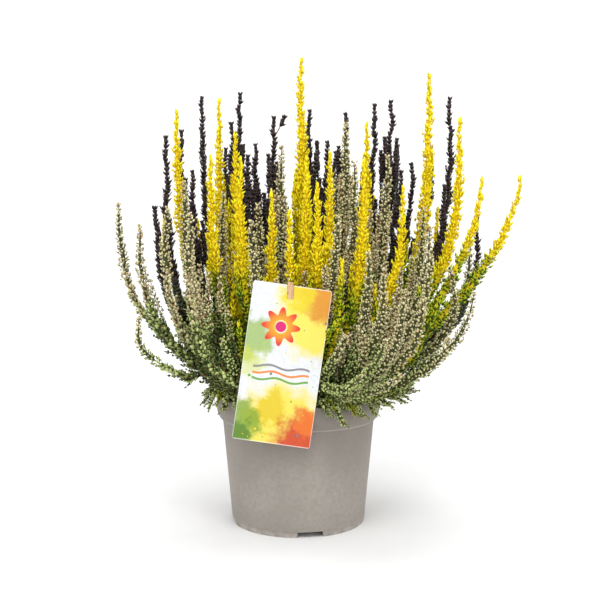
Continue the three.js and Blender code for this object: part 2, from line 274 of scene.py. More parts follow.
def potProfile():
    # (radius, height) points: under the pot, up its outside and the collar, over the lip, and down inside
    wall, foot, collar, rim, high = pot["wall"], pot["foot"], pot["collarFoot"], rimRadius, potHeight
    channel, ring, draft, band = pot["channel"], foot - pot["footRing"], pot["draft"], pot["footBand"]
    top, low, floorTop = wallRadius(collar), wallRadius(band), channel + wall
    under = [(0, 0), (pot["pad"], 0), (pot["channelInner"], channel), (ring - draft, channel)]
    under += [(ring, 0), (foot, 0), (foot + 0.25, 1.2), (foot + 0.4, band - 0.5)]
    outside = [(low - 0.35, band), (low + 0.1, band + 0.5)]
    outside += [(wallRadius(z), z) for z in (10, 25, 40, 55, 68)]
    step = [(top, collar - 0.3), (top + 0.5, collar + 0.15), (top + 1.5, collar + 0.9), (top + 2.4, collar + 2)]
    step += [(rim - 0.85, collar + 4.2), (rim - 0.3, collar + 6), (rim, pot["collarStraight"] + 0.5)]
    lip = [(rim, high - 0.5), (rim - 0.2, high - 0.12), (rim - 0.6, high), (rim - wall + 0.3, high)]
    inside = [(rim - wall, high - 0.4), (rim - wall, pot["collarStraight"]), (top - wall + 2.2, collar + 2.6)]
    inside += [(top - wall, collar), (wallRadius(floorTop) - wall, floorTop)]
    floor = [(pot["channelInner"] + draft, floorTop), (pot["pad"] + draft, wall), (0, wall)]
    return under + outside + step + lip + inside + floor


def makePot():
    bm = bmesh.new()
    spinProfile(bm, potProfile(), pot["steps"])
    smoothAll(bm)
    cutters = bmesh.new()
    for i in range(pot["notches"]):
        turn = turned(math.radians(pot["notchTurn"] + 360 * i / pot["notches"]))
        block = bmesh.ops.create_cube(cutters, size=1)["verts"]
        size = (pot["notchWidth"] * mm, pot["notchDepth"] * mm, 2 * pot["notchHeight"] * mm)
        bmesh.ops.scale(cutters, vec=size, verts=block)
        for vert in block:
            vert.co.x *= 1 - math.copysign(pot["notchTaper"], vert.co.z)
        bmesh.ops.translate(cutters, vec=(0, -pot["foot"] * mm, 0), verts=block)
        bmesh.ops.transform(cutters, matrix=turn, verts=block)
    for i in range(pot["drains"]):
        turn = turned(math.radians(pot["notchTurn"] + 360 * i / pot["drains"]))
        place = turn @ Matrix.Translation((pot["drainCircle"] * mm, 0, pot["channel"] * mm))
        wide = pot["drainRadius"] * mm
        bmesh.ops.create_cone(cutters, cap_ends=True, segments=pot["drainSides"], radius1=wide, radius2=wide,
                              depth=pot["drainDepth"] * mm, matrix=place)
    piece = addPiece("nursery_pot", cutAway(bm, cutters), [potPlastic()], "pot_plastic", "pot")
    soften(piece, pot["softEdge"] * mm, pot["softAngle"])


def cutAway(bm, cutters):
    # takes the cutters out of a solid and gives what is left
    solids = [putIn("cut", meshFrom(shape, "cut")) for shape in (bm, cutters)]
    cut = solids[0].modifiers.new("cut", "BOOLEAN")
    cut.operation = "DIFFERENCE"
    cut.solver = "MANIFOLD"
    cut.object = solids[1]
    left = bmesh.new()
    left.from_object(solids[0], bpy.context.evaluated_depsgraph_get())
    for solid in solids:
        mesh = solid.data
        bpy.data.objects.remove(solid)
        bpy.data.meshes.remove(mesh)
    return left


def soften(piece, width, angle):
    # rounds the sharp edges of a finished piece
    bevel = piece.modifiers.new("soft edges", "BEVEL")
    bevel.width = width
    bevel.segments = 2
    bevel.limit_method = "ANGLE"
    bevel.angle_limit = math.radians(angle)
    bevel.harden_normals = False


def potPlastic():
    finish = Finish("pot plastic", {"Specular IOR Level": 0.3})
    cloudy = finish.noise(30, 5).rise(0.3, 0.7)
    grain = finish.noise(1100, 3)
    mottle = finish.noise(330, 3)
    up = finish.axis(finish.place(), "Z")
    body = finish.mix(cloudy, paint(144, 137, 129), paint(157, 150, 142))
    body = finish.mix(mottle.rise(0.4, 0.7) * 0.45, body, paint(136, 129, 122))
    body = finish.mix(grain.rise(0.55, 0.8) * 0.5, body, paint(178, 171, 163))
    # painted shade: the pot darker towards the top, where the foliage over the rim shades its upper body and
    # collar
    body = finish.mix(up.rise(0.03, 0.08) * 0.7, body, paint(124, 117, 109))
    # painted highlight: a pale thin line just above the collar's foot, where its edge catches the light
    line = up.rise(0.0752, 0.0757) * (1 - up.rise(0.0766, 0.0772))
    body = finish.mix(line * 0.4, body, paint(186, 180, 172))
    scuff = (1 - up.rise(0.0, 0.007)) * finish.noise(220, 3).rise(0.4, 0.65)
    body = finish.mix(scuff * 0.6, body, paint(186, 179, 170))
    rough = cloudy * 0.08 + grain * 0.12 + 0.5
    bumps = finish.bump(mottle, 0.0002, 0.3)
    finish.feed(finish.shader, {"Base Color": body, "Roughness": rough, "Normal": bumps})
    return finish


# The peat, in millimetres: a lumpy top with loose crumbs, over a plain block that stands clear of the pot
peat = {"gap": 0.5, "top": 1.5, "rings": 22, "ringStep": 0.045, "lump": 1.3, "mostLump": 1.4, "crumbs": 220,
        "crumbSize": (0.8, 2.2), "steps": 64}


def makePeat():
    draw = random.Random(5)
    wall, gap, collar, top = pot["wall"], peat["gap"], pot["collarFoot"], soilTop - peat["top"]
    rim = rimRadius - wall - gap
    floor = pot["channel"] + wall + gap
    brim = rim - 1.5
    profile = [(0, wall + gap), (pot["pad"], wall + gap), (pot["channelInner"], floor),
               (wallRadius(floor) - wall - gap, floor), (wallRadius(collar) - wall - gap, collar),
               (rim - 1.2, soilTop - 3)]
    profile += [(brim - peat["ringStep"] * brim * i, top) for i in range(peat["rings"])] + [(0, top)]
    bm = bmesh.new()
    spinProfile(bm, profile, peat["steps"])
    for vert in bm.verts:
        if vert.co.z > (soilTop - 2) * mm:
            rough = noise.fractal(vert.co * 160, 1.0, 2.0, 4) + 0.5 * noise.noise(vert.co * 45)
            vert.co.z += min(peat["mostLump"], max(-peat["mostLump"], rough * peat["lump"])) * mm
    for i in range(peat["crumbs"]):
        away = (rim - 4) * math.sqrt(draw.random())
        angle = draw.uniform(0, 2 * math.pi)
        size = draw.uniform(*peat["crumbSize"]) * mm
        spot = (away * math.cos(angle) * mm, away * math.sin(angle) * mm, (soilTop - 1) * mm)
        place = Matrix.Translation(spot) @ turned(draw.uniform(0, 6), "X")
        place = place @ turned(draw.uniform(0, 6))
        place = place @ Matrix.Diagonal((size, size * draw.uniform(0.5, 0.9), size * draw.uniform(0.4, 0.8), 1))
        bmesh.ops.create_icosphere(bm, subdivisions=1, radius=0.5, matrix=place)
    smoothAll(bm)
    addPiece("peat_fill", bm, [peatFinish()], "peat", "soil")


def peatFinish():
    finish = Finish("peat", {"Specular IOR Level": 0.2, "Roughness": 0.95})
    fine = finish.noise(1300, 4)
    clods = finish.noise(260, 3)
    dark = finish.mix(clods.rise(0.35, 0.65), paint(30, 21, 15), paint(58, 43, 32))
    body = finish.mix(fine.rise(0.6, 0.72) * 0.5, dark, paint(104, 80, 58))
    finish.feed(finish.shader, {"Base Color": body, "Normal": finish.bump(fine, 0.0004, 0.8)})
    return finish


# The card and its stake, in millimetres: clear is the room that the card's slit leaves round the stake
card = {"wide": 52.5, "high": 107, "thick": 0.6, "corner": 1.5, "roll": 8.1, "middle": (-10.9, -66, 123.5)}
stake = {"wide": 4, "thick": 1, "foot": (-5, -46.5, 72), "top": (-5, -67.8, 178.7), "clear": 0.25,
         "edge": 0.18}


def stakeBlock(extra):
    # a block of the stake's size and that much more all round, and the matrix that stands it in its place
    top, foot = Vector(stake["top"]), Vector(stake["foot"])
    run = top - foot
    bm = bmesh.new()
    bmesh.ops.create_cube(bm, size=1)
    size = Vector((stake["wide"], stake["thick"], run.length)) + Vector((2 * extra,) * 3)
    bmesh.ops.scale(bm, vec=size, verts=bm.verts)
    lean = turned(math.atan2(-run.y, run.z), "X")
    return bm, Matrix.Scale(mm, 4) @ Matrix.Translation((top + foot) / 2) @ lean


def makeCard():
    bm = bmesh.new()
    bmesh.ops.create_cube(bm, size=1)
    bmesh.ops.scale(bm, vec=(card["wide"], card["thick"], card["high"]), verts=bm.verts)
    corners = [edge for edge in bm.edges if abs(edge.verts[0].co.y - edge.verts[1].co.y) > card["thick"] / 2]
    bmesh.ops.bevel(bm, geom=corners, offset=card["corner"], segments=6, profile=0.5, affect="EDGES",
                    material=-1)
    roll = turned(math.radians(card["roll"]), "Y")
    place = Matrix.Scale(mm, 4) @ Matrix.Translation(card["middle"]) @ roll
    bmesh.ops.transform(bm, matrix=place, verts=bm.verts)
    slit, stand = stakeBlock(stake["clear"])
    bmesh.ops.transform(slit, matrix=stand, verts=slit.verts)
    left = cutAway(bm, slit)
    layer = left.loops.layers.uv.new("face")
    back = place.inverted()
    for face in left.faces:
        for loop in face.loops:
            spot = back @ loop.vert.co
            loop[layer].uv = (spot.x / card["wide"] + 0.5, spot.z / card["high"] + 0.5)
    addPiece("picture_card", left, [cardPrint()], "card", "plant_card")


def makeStake():
    bm, stand = stakeBlock(0)
    bmesh.ops.bevel(bm, geom=list(bm.edges), offset=stake["edge"], segments=2, profile=0.5, affect="EDGES",
                    material=-1)
    bmesh.ops.transform(bm, matrix=stand, verts=bm.verts)
    addPiece("wooden_stake", bm, [stakeWood()], "stake_wood", "card_stake")


def stakeWood():
    finish = Finish("stake wood", {"Roughness": 0.62})
    grain = finish.noise(60, 4, finish.stretched((14, 14, 0.6)))
    fibre = finish.noise(400, 2, finish.stretched((6, 6, 0.25)))
    body = finish.mix(grain.rise(0.3, 0.7), paint(190, 146, 104), paint(222, 186, 146))
    body = finish.mix(fibre.rise(0.55, 0.75) * 0.4, body, paint(150, 106, 68))
    finish.feed(finish.shader, {"Base Color": body, "Normal": finish.bump(fibre, 0.0001, 0.6)})
    return finish


# What is printed on the card, in card widths from its lower left corner. Washes of colour have their middle
# across and up, size, softness and strength, wavy bands their height, and dots how close they stand, how
# large they are and what share of them is left out.
washes = [
    (0.95, 1.75, 0.60, 0.16, 0.90, paint(230, 212, 40)),
    (1.05, 2.02, 0.42, 0.10, 0.90, paint(206, 128, 16)),
    (0.62, 1.95, 0.20, 0.06, 0.85, paint(216, 196, 8)),
    (0.02, 1.30, 0.30, 0.08, 0.80, paint(134, 168, 40)),
    (0.10, 1.02, 0.18, 0.06, 0.60, paint(196, 204, 60)),
    (0.60, 0.14, 0.62, 0.16, 0.92, paint(226, 208, 46)),
    (0.42, 0.42, 0.20, 0.05, 0.85, paint(210, 182, 4)),
    (1.02, 0.02, 0.46, 0.12, 0.95, paint(192, 44, 12)),
    (0.02, 0.22, 0.30, 0.08, 0.85, paint(112, 150, 30)),
    (0.08, 0.10, 0.14, 0.05, 0.75, paint(62, 112, 22)),
    (0.92, 0.30, 0.16, 0.05, 0.75, paint(222, 112, 12)),
]
bands = [(0.98, paint(123, 123, 128)), (0.90, paint(224, 125, 29)), (0.82, paint(96, 157, 42))]
dots = [(7.0, 0.13, 0.62), (15.0, 0.12, 0.72)]


def cardPrint():
    finish = Finish("card print", {"Roughness": 0.36, "Specular IOR Level": 0.45, "Coat Weight": 0.12})
    face = finish.stretched((1, card["high"] / card["wide"], 1), "UV")
    across = finish.axis(face, "X")
    up = finish.axis(face, "Y")
    flow = finish.noise(5, 5, face) - 0.5
    fine = finish.noise(22, 5, face) - 0.5
    shade = finish.mix((fine + 0.5).rise(0.3, 0.7), paint(224, 227, 232), paint(210, 213, 221))
    for x, y, size, soft, strength, colour in washes:
        away = ((across - x) ** 2 + (up - y) ** 2) ** 0.5 + flow * 0.5 + fine * 0.16
        wash = 1 - away.rise(size - soft, size + soft)
        shade = finish.mix(wash * strength, shade, colour)
    shade = addPetals(finish, shade, across - 0.42, up - 1.50)
    inside = (across > 0.14) * (across < 0.86)
    for height, colour in bands:
        wave = finish.node("ShaderNodeMath", {"operation": "SINE"}, {0: across * 15 + height * 9})
        line = (up - height - wave * 0.02) ** 2
        shade = finish.mix((line < 0.0002) * inside * 0.95, shade, colour)
    for scale, size, most in dots:
        spots = {"Vector": face, "Scale": scale}
        near = finish.node("ShaderNodeTexVoronoi", {}, spots)
        pick = finish.node("ShaderNodeTexVoronoi", {}, spots, "Color")
        tint = finish.mix(finish.axis(pick, "Y") > 0.5, paint(102, 107, 115), paint(73, 148, 31))
        tint = finish.mix(finish.axis(pick, "Z") > 0.6, tint, paint(225, 193, 10))
        shade = finish.mix((near < size) * (finish.axis(pick, "X") > most) * 0.9, shade, tint)
    border = (across < 0.008) + (across > 0.992) + (up < 0.012) + (up > 2.026)
    shade = finish.mix(border * 0.5, shade, paint(236, 236, 232))
    finish.feed(finish.shader, {"Base Color": shade})
    return finish


def addPetals(finish, shade, x, y):
    # a round of eight petals with a disc in the middle, where x and y are measured from its centre
    away = (x ** 2 + y ** 2) ** 0.5
    turn = finish.node("ShaderNodeMath", {"operation": "ARCTAN2"}, {0: y, 1: x})
    petals = finish.node("ShaderNodeMath", {"operation": "COSINE"}, {0: turn * 8})
    edge = petals * 0.05 + 0.2
    tinted = finish.mix(away.rise(0.08, 0.24), paint(235, 157, 21), paint(215, 46, 36))
    shade = finish.mix((away < edge) * (away > 0.085), shade, tinted)
    return finish.mix(away < 0.068, shade, paint(204, 8, 109))


# The heather, in millimetres and degrees. Girth and fill say how fast a spike thickens below its tip, leaf is a
# leaf's length, width and thickness, step the room between whorls, crowd the room for a leaf, lean how far it
# opens on a thin and a thick spike, and bud at the tip. Swell, knob and wobble make girth and line uneven.
# Green is the height under which a spike is green, its rise for each millimetre out, and its limit. Branches
# start bare below the tip, room apart, end bareTip below it and stand reach aside. Rise sets them upright.
heather = {
    "yellow": {
        "seed": 21,
        "tip": 1.3, "girth": 4.3, "fill": 36, "leaf": (3.5, 2.7, 1.9), "step": 2.4, "lean": (16, 44),
        "crowd": 2.8, "bud": 8, "shootLeaf": (3.1, 1.6, 0.9), "green": (136, 0.38, 194), "swell": 0.2,
        "knob": 0.13, "wobble": 0.8, "stem": 0.75, "twig": 3.0, "bare": 76, "room": 11, "bareTip": 56,
        "reach": (6, 13), "rise": 0.25,
    },
    "dark": {
        "seed": 22, "tip": 2.5, "girth": 1.5, "fill": 22, "leaf": (3.7, 2.5, 2.0), "step": 3.1, "bud": 14,
        "shootLeaf": (3.1, 1.5, 0.8), "green": (160, 0, 160), "swell": 0.08, "knob": 0.06, "wobble": 1.5,
        "stem": 0.9, "twig": 3.3, "bare": 40, "room": 8.5, "bareTip": 18, "reach": (6, 12), "rise": 0.1,
    },
    "silver": {
        "seed": 23,
        "tip": 2.0, "girth": 3.2, "fill": 28, "leaf": (2.8, 1.8, 1.6), "step": 2.5, "lean": (26, 58),
        "crowd": 2.6, "bud": 16, "shootLeaf": (2.9, 1.7, 1.0), "green": (135, 0, 135), "swell": 0.08,
        "knob": 0.05, "wobble": 0.8, "stem": 0.75, "twig": 3.2, "bare": 58, "room": 9, "bareTip": 30,
        "reach": (6, 14), "rise": 0.5,
    },
}
# What all colours share: whorls in so many levels, thin to wide, and kinds of each. A spike is footRadius thick
# at the peat and widens by footFlare, and its leaves stand open up to openTop, but never on its last fullTip.
growth = {
    "levels": 8, "kinds": 4, "thin": 0.9, "wide": 6.8, "footRadius": 1.2, "footFlare": 0.16, "fullTip": 40,
    "openTop": {"left": 96, "middle": 62, "right": 22}, "openStep": 2.0, "branchLength": (40, 84),
    "branchTop": 24, "twigStep": 2.5, "shootLength": (6, 13), "shootStep": 2.9, "lowTop": 155, "inner": 22,
    "outer": 82, "turn": 2.4, "greenBlend": 22,
}
# How the solids are read: room between cuts, how near and how far the next place of a line may be, more places
# than this to a line, how many places it is smoothed over, and how far under the top the first cut is
cut = {"step": 3, "near": 7, "far": 26, "least": 4, "window": 5, "top": 1.5}


def cutCentres(corners, faces, height):
    # the middle of each outline that a level cut leaves
    above = corners[:, 2] > height
    sides = above[faces].sum(axis=1)
    places, beside = {}, {}
    for face in faces[(sides > 0) & (sides < 3)].tolist():
        ends = []
        for a, b in zip(face, face[1:] + face[:1]):
            if above[a] != above[b]:
                share = (height - corners[a][2]) / (corners[b][2] - corners[a][2])
                ends.append((min(a, b), max(a, b)))
                places[ends[-1]] = corners[a] + share * (corners[b] - corners[a])
        for one, other in (ends, ends[::-1]):
            beside.setdefault(one, []).append(other)
    centres = []
    while places:
        ring, waiting = [], [next(iter(places))]
        while waiting:
            key = waiting.pop()
            if key in places:
                ring.append(places.pop(key))
                waiting += beside[key]
        centres.append(np.mean(ring, axis=0))
    return centres


def stemLines(node):
    # the lines that a spray's spikes follow, from foot to tip in millimetres, read from cuts down its solid
    bm = bmesh.new()
    bm.from_mesh(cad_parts[node].data)
    bmesh.ops.remove_doubles(bm, verts=bm.verts, dist=1e-6)
    corners = np.array([vert.co for vert in bm.verts]) / mm
    faces = np.array([[vert.index for vert in face.verts] for face in bm.faces])
    bm.free()
    lines = followCuts(corners, faces)
    for line in lines:
        line["track"] = smoothed(np.array(line["points"]))
    for line in lines:
        line["foot"] = footOf(line, lines)
    return [np.vstack([line["foot"], line["track"]]) for line in lines]


def followCuts(corners, faces):
    # each outline of a cut goes to the line above it, and where two lines meet in one, the second has its foot
    lines = []
    high = corners[:, 2].max() - cut["top"]
    for height in np.arange(high, soilTop + 1, -cut["step"]):
        centres = cutCentres(corners, faces, height)
        owner = {}
        waiting = sorted((line for line in lines if line["open"]), key=lambda line: -len(line["points"]))
        for reach in (cut["near"], cut["far"]):
            for line in list(waiting):
                points = line["points"]
                guess = points[-1] + (points[-1] - points[-2])
                free = [i for i in range(len(centres)) if reach == cut["near"] or i not in owner]
                away = [np.hypot(*(centres[i] - guess)[:2]) for i in free]
                if not away or min(away) > reach:
                    continue
                nearest = free[int(np.argmin(away))]
                waiting.remove(line)
                if nearest in owner:
                    line["open"] = False
                    line["host"] = owner[nearest]
                else:
                    owner[nearest] = line
                    points.append(centres[nearest])
        for line in waiting:
            line["open"] = False
        for i, centre in enumerate(centres):
            if i not in owner:
                beside = np.hypot(*(corners[:, :2] - centre[:2]).T) < 5
                near = corners[beside & (corners[:, 2] >= height)]
                top = near[near[:, 2].argmax()] if len(near) else centre
                lines.append({"points": [top, centre], "open": True, "host": None})
    return [line for line in lines if len(line["points"]) > cut["least"]]


def footOf(line, lines):
    # where a line starts: in the peat, or on the line it branches from. What lies on the rim is left out.
    mouth = rimRadius - 4
    track, host = line["track"], line["host"]
    if host is None and np.hypot(*track[0][:2]) > mouth:
        low = (track[:, 2] < potHeight + 14) & (np.hypot(track[:, 0], track[:, 1]) > mouth)
        line["track"] = track = track[~low]
    if host is None and track[0][2] > soilTop + 8:
        others = np.vstack([other["track"] for other in lines if other is not line])
        others = others[others[:, 2] < track[0][2] + 2]
        foot = others[np.linalg.norm(others - track[0], axis=1).argmin()] if len(others) else track[0]
    elif host is None:
        foot = track[0] + (track[0] - track[2]) * 0.5
        foot[2] = soilTop - 4
    else:
        below = track[0][2] - 6
        foot = np.array([np.interp(below, host["track"][:, 2], host["track"][:, k]) for k in range(3)])
    return foot


def smoothed(points):
    # from foot to tip, with the wobble of the whorls taken out and the tip kept
    points = points[::-1]
    wide = cut["window"] // 2
    ends = np.vstack([points[:1]] * wide + [points] + [points[-1:]] * wide)
    out = np.array([ends[i:i + cut["window"]].mean(axis=0) for i in range(len(points))])
    out[-1] = points[-1]
    return out


def wobbled(track, most, seed):
    # small bends, none at the tip and at the foot
    out = track.copy()
    for i, point in enumerate(track):
        ease = min(1, (track[-1][2] - point[2]) / 12, max(0, point[2] - soilTop) / 25)
        for k in range(2):
            out[i][k] += most * 2 * ease * noise.noise(Vector((point[2] / 17, seed, 7 * k)))
    return out


class Spike:
    # a line with places found by the distance below its tip, in millimetres
    def __init__(self, track):
        steps = np.linalg.norm(np.diff(track, axis=0), axis=1)
        self.track = track
        self.along = np.concatenate([[0], np.cumsum(steps)])
        self.length = self.along[-1]

    def at(self, below):
        s = self.length - below
        return Vector([np.interp(s, self.along, self.track[:, k]) for k in range(3)])

    def stand(self, below):
        # a matrix that stands a shape made along +Z on the line, in metres
        point = self.at(below)
        up = (self.at(max(0, below - 3)) - self.at(min(self.length, below + 3))).normalized()
        turn = Vector((0, 0, 1)).rotation_difference(up).to_matrix().to_4x4()
        return Matrix.Translation(point * mm) @ turn


def newShape():
    bm = bmesh.new()
    bm.verts.layers.float.new("tip")
    bm.verts.layers.float.new("tone")
    return bm


def addLeaf(bm, size, place, tone, form, curl=0.0):
    # a pointed leaf or bud from the origin of place along its +Z: a scale, a leaf or a bud
    tips, tones = bm.verts.layers.float["tip"], bm.verts.layers.float["tone"]
    if form == "scale":
        made = bmesh.ops.create_cone(bm, cap_ends=True, segments=3, radius1=0.5, radius2=0, depth=1)
    else:
        made = bmesh.ops.create_uvsphere(bm, u_segments=4 if form == "bud" else 3, v_segments=2, radius=0.5)
    for vert in made["verts"]:
        if abs(vert.co.z) < 0.4:
            vert.co.z += 0.08 if form == "bud" else -0.1
        share = vert.co.z + 0.5
        vert[tips] = share
        vert[tones] = tone
        vert.co.x -= curl * share * share
    long, wide, thick = size
    shaped = Matrix.Diagonal((thick * mm, wide * mm, long * mm, 1)) @ Matrix.Translation((0, 0, 0.46))
    bmesh.ops.transform(bm, verts=made["verts"], matrix=place @ shaped)


def shapeDone(bm, name):
    smoothAll(bm)
    return meshFrom(bm, name)


def tilt(around, lean, out=0.0, up=0.0):
    # stands +Z at an angle from the stem, turned round it, and moved out and up, in millimetres
    turn = turned(around) @ Matrix.Translation((out * mm, 0, up * mm))
    return turn @ turned(lean, "Y")


def leanAt(kind, radius):
    low, high = heather[kind]["lean"]
    share = min(1, max(0, (radius - 0.8) / 3.2))
    return math.radians(low + (high - low) * share)


def coreAt(kind, radius):
    # how thick the core is on which a whorl's leaves stand
    long = heather[kind]["leaf"][0]
    return max(heather[kind]["stem"] * 0.6, radius - 1.15 * long * math.sin(leanAt(kind, radius)))


def whorl(kind, radius, draw):
    # leaves all round the stem that reach out to the radius
    kit = heather[kind]
    bm = newShape()
    lean = leanAt(kind, radius)
    long, wide, thick = kit["leaf"]
    count = max(3, round(2 * math.pi * (radius - 0.45 * long * math.sin(lean)) / kit["crowd"]))
    turn = draw.uniform(0, 6)
    for i in range(count):
        around = turn + 2 * math.pi * (i + draw.uniform(-0.22, 0.22)) / count
        opened = lean + math.radians(draw.gauss(0, 8))
        size = draw.uniform(0.8, 1.2)
        out = max(0.1, radius * draw.uniform(0.88, 1.08) - long * size * math.sin(opened))
        place = tilt(around, opened, out, draw.uniform(-0.5, 0.5) * kit["step"])
        shape = (long * size, wide * size * draw.uniform(0.85, 1.15), thick * size)
        addLeaf(bm, shape, place, draw.random(), "bud" if kind == "silver" else "scale", 0.2)
    return shapeDone(bm, kind + " whorl")


def tuftWhorl(kind, radius, draw):
    # three tufts round the stem, each of a few narrow leaves that end at one height
    bm = newShape()
    long, wide, thick = heather[kind]["leaf"]
    reach = max(0.55, (radius - 0.45) / (long * math.sin(math.radians(46))))
    for third in range(3):
        around = 2.1 * third + draw.uniform(-0.25, 0.25)
        for turn, lean, share in ((0, 50, 1.0), (-0.6, 38, 0.9), (0.6, 38, 0.9)):
            size = share * reach * draw.uniform(0.85, 1.15)
            opened = math.radians(lean + draw.gauss(0, 6))
            place = tilt(around + turn + draw.uniform(-0.2, 0.2), opened, 0.3, draw.uniform(-0.3, 0.3))
            form = "leaf" if share == 1 else "scale"
            addLeaf(bm, (long * size, wide * (0.6 + 0.4 * size), thick), place, draw.random(), form, 0.4)
    return shapeDone(bm, kind + " tufts")


def twigWhorl(kind, radius, draw):
    # the few open leaves of a low branch, with a bud here and there on the silver kind
    bm = newShape()
    turn = draw.uniform(0, 6)
    for i in range(5):
        around = turn + 2 * math.pi * (i + draw.uniform(-0.25, 0.25)) / 5
        opened = math.radians(46 + draw.gauss(0, 9))
        size = draw.uniform(0.85, 1.15) * radius / 3
        budding = kind == "silver" and draw.random() < 0.5
        shape = (2.7, 2.0, 1.8) if budding else (3.5, 1.7, 0.9)
        place = tilt(around, opened, 0.35, draw.uniform(-1, 1))
        addLeaf(bm, tuple(size * v for v in shape), place, draw.random(), "bud" if budding else "scale", 0.3)
    return shapeDone(bm, kind + " twig whorl")


def topBud(kind, draw):
    # the closed leaves at the end of a spike
    bm = newShape()
    long, wide, thick = heather[kind]["leaf"]
    opened = heather[kind]["bud"]
    for i in range(5):
        place = tilt(1.26 * i, math.radians(opened), 0.15, (0.3 * i - 1.6) * 0.6 - 0.85 * long)
        addLeaf(bm, (long, wide * 0.75, thick), place, draw.random(), "leaf")
    addLeaf(bm, (long, wide * 0.6, wide * 0.5), tilt(0, 0, 0, -long), 0.5, "leaf")
    return shapeDone(bm, kind + " top")


def shoot(kind, length, draw):
    # a short side twig along +Z that curves towards +X, with small leaves in crossed pairs
    bm = newShape()
    leafy = heather[kind]["shootLeaf"]
    bend = 0.22 * length

    def at(s):
        return Vector((bend * (s / length) ** 2, 0, s))

    s, turn = 0.9, draw.uniform(0, 3)
    while s < length:
        share = s / length
        along = Matrix.Translation(at(s) * mm) @ turned(math.atan2(2 * bend * share, length), "Y")
        size = 1.1 - 0.3 * share
        budding = kind == "silver" and share > 0.3 and draw.random() < 0.5
        for half in range(2):
            shape = (2.4, 1.9, 1.7) if budding else leafy
            around = turn + math.pi * half + draw.uniform(-0.3, 0.3)
            place = along @ tilt(around, math.radians(58 - 30 * share + draw.gauss(0, 6)), 0.2)
            form = "bud" if budding else "scale"
            addLeaf(bm, tuple(size * v for v in shape), place, draw.random(), form, 0.3)
        turn += math.pi / 2
        s += draw.uniform(1.5, 1.95)
    end = Matrix.Translation(at(length - 0.6) * mm) @ turned(0.4, "Y")
    addLeaf(bm, (2.4, 1.1, 0.9), end, 0.5, "leaf")
    twig = tube([at(length * i / 3) for i in range(4)], [0.42, 0.36, 0.3, 0.2], 1, 0)
    bm.from_mesh(twig)
    bpy.data.meshes.remove(twig)
    return shapeDone(bm, kind + " shoot")


def tube(points, radii, slot, fine=1):
    # a round stem along points, in millimetres, with its ends closed
    curve = bpy.data.curves.new("stem", "CURVE")
    curve.dimensions = "3D"
    curve.bevel_depth = mm
    curve.bevel_resolution = fine
    curve.use_fill_caps = True
    line = curve.splines.new("POLY")
    line.points.add(len(points) - 1)
    for spot, point, radius in zip(line.points, points, radii):
        spot.co = (*(Vector(point) * mm), 1)
        spot.radius = radius
    carrier = bpy.data.objects.new("stem", curve)
    mesh = bpy.data.meshes.new_from_object(carrier)
    bpy.data.objects.remove(carrier)
    bpy.data.curves.remove(curve)
    bm = newShape()
    bm.from_mesh(mesh)
    for face in bm.faces:
        face.material_index = slot
    bmesh.ops.remove_doubles(bm, verts=bm.verts, dist=1e-6)
    bmesh.ops.recalc_face_normals(bm, faces=bm.faces)
    bpy.data.meshes.remove(mesh)
    return shapeDone(bm, "stem")


def makeKit(kind):
    # the few shapes that a colour of heather is grown from
    draw = random.Random(heather[kind]["seed"])
    radii = np.linspace(growth["thin"], growth["wide"], growth["levels"])
    make = tuftWhorl if kind == "dark" else whorl
    lengths = np.linspace(*growth["shootLength"], 4)
    return {
        "twigs": [twigWhorl(kind, heather[kind]["twig"], draw) for i in range(8)],
        "radii": radii,
        "whorls": [[make(kind, radius, draw) for i in range(growth["kinds"])] for radius in radii],
        "lengths": lengths,
        "shoots": [[shoot(kind, length, draw) for i in range(3)] for length in lengths],
        "top": topBud(kind, draw),
    }


class Grower:
    # gathers shapes into one mesh, with a value for the age of each: above 1, painted shade deep in the bush
    def __init__(self):
        self.bm = newShape()
        self.counts = []
        self.ages_and_shades = []

    def plant(self, shape, place, age_and_shade):
        copy = shape.copy()
        copy.transform(place)
        self.bm.from_mesh(copy)
        bpy.data.meshes.remove(copy)
        self.counts.append(len(shape.vertices))
        self.ages_and_shades.append(age_and_shade)

    def plantStem(self, points, radii, slot, age_and_shade, fine=1):
        stem = tube(points, radii, slot, fine)
        self.plant(stem, Matrix.Identity(4), age_and_shade)
        bpy.data.meshes.remove(stem)


def spikeRadius(kind, below, low=math.inf):
    # how thick a spike is at a distance below its tip, and at a height above the peat, near which it is thin
    kit = heather[kind]
    full = kit["tip"] + kit["girth"] * (1 - math.exp(-below / kit["fill"]))
    return min(full, growth["footRadius"] + growth["footFlare"] * low)


def pickWhorl(kit, radius, draw):
    # a whorl of nearly that radius, and its own radius
    level = int(np.abs(kit["radii"] - radius).argmin())
    return draw.choice(kit["whorls"][level]), kit["radii"][level]


def greenUnder(kind, tip, draw):
    # the height under which a spike is green
    base, spread, most = heather[kind]["green"]
    height = min(most, base + spread * math.hypot(tip.x, tip.y)) + draw.uniform(-10, 24)
    if kind == "silver":
        height -= min(32, max(-8, 0.35 * tip.x))
    return height


def ageAt(height, green):
    # 0 where a spike has its own colour, 1 low down where it is green
    blend = growth["greenBlend"]
    share = min(1, max(0, (green + blend - height) / (2 * blend)))
    return share * share * (3 - 2 * share)


def openAt(kind, tip):
    # how far above the peat a spike's leaves stand open on a bare stem: far at the left, little at the right
    if kind == "dark" or -60 < tip.x < -15:
        return growth["openTop"]["middle"]
    return growth["openTop"]["left" if tip.x < 0 else "right"]


def growSpike(grower, kind, spike, kit, draw):
    size = heather[kind]
    green = greenUnder(kind, spike.at(0), draw)
    grower.plant(kit["top"], spike.stand(0) @ turned(draw.uniform(0, 6)), 0.0)
    growWhorls(grower, kind, spike, kit, green, draw)
    growShoots(grower, kind, spike, kit, green, draw)
    growStem(grower, kind, spike)
    below = size["bare"] * draw.uniform(0.85, 1.1)
    turn = draw.uniform(0, 6)
    while below < spike.length - 3:
        growBranch(grower, kind, spike, below, turn, kit, green, draw)
        turn += growth["turn"]
        below += size["room"] * draw.uniform(0.7, 1.3)


